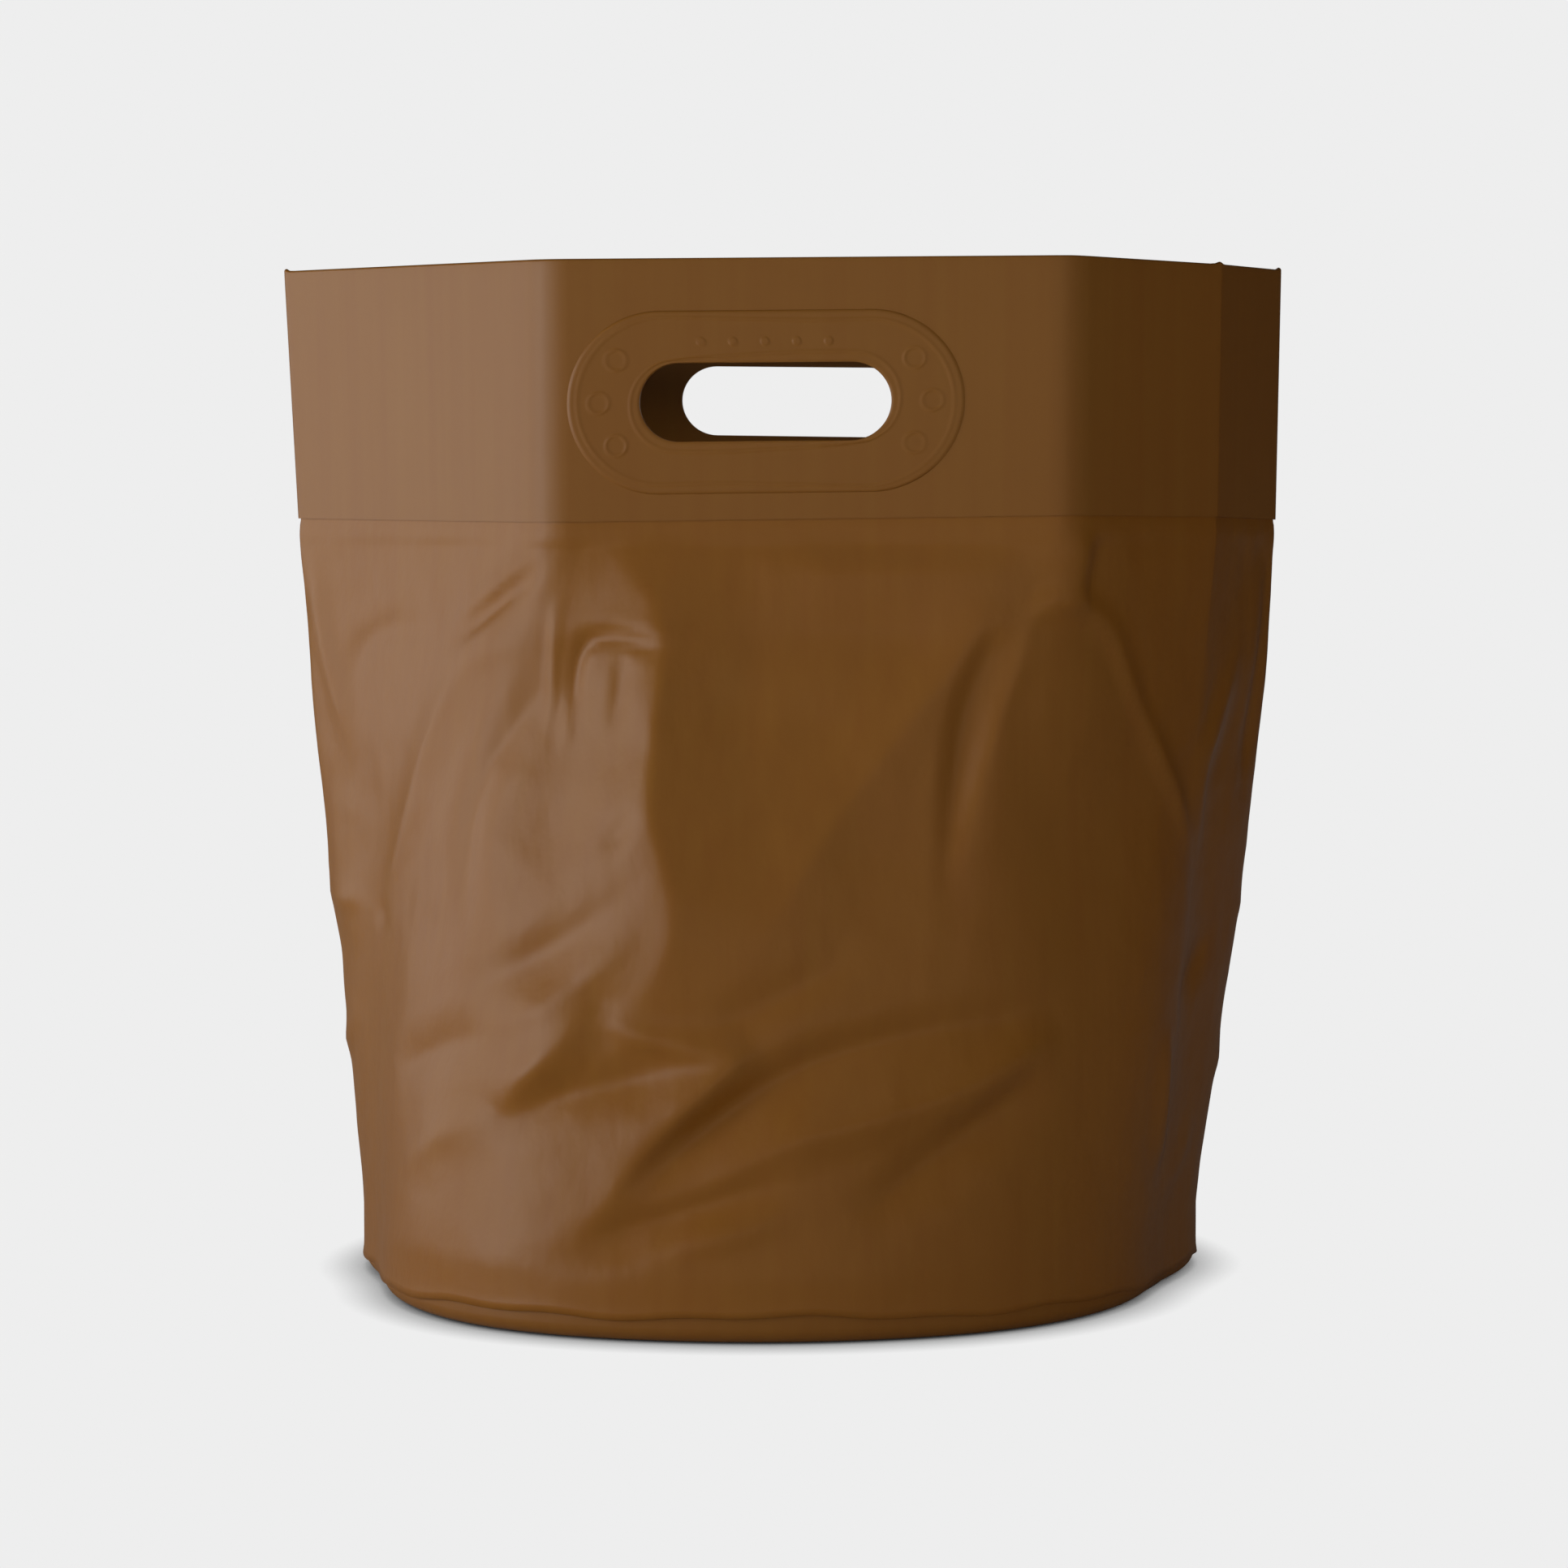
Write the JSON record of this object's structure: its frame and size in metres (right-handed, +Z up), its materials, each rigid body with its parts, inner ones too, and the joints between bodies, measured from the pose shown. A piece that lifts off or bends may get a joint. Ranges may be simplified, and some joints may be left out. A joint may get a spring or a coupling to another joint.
{
  "type": "film grow bag",
  "caption": "Open-topped tan film planting bag: round base with drain holes, wrinkled wall, and a stiff folded collar with oval-plated hand holes.",
  "frame": {"origin": "centre of the round base's underside", "axes": "+Z up, +X to the right and -Y towards the viewer who faces the front hand hole"},
  "size_m": [0.3972, 0.3338, 0.4],
  "materials": {
    "base_film": "semi-gloss polyethylene film",
    "wall_film": "semi-gloss polyethylene film",
    "collar_film": "smooth semi-gloss polyethylene film",
    "plate": "smooth semi-gloss polyethylene"
  },
  "bodies": {
    "root": {"base_sheet": "base_film", "wall_film": "wall_film", "collar_band": "collar_film", "front_handle_plate": "plate", "back_handle_plate": "plate"}
  },
  "joints": []
}
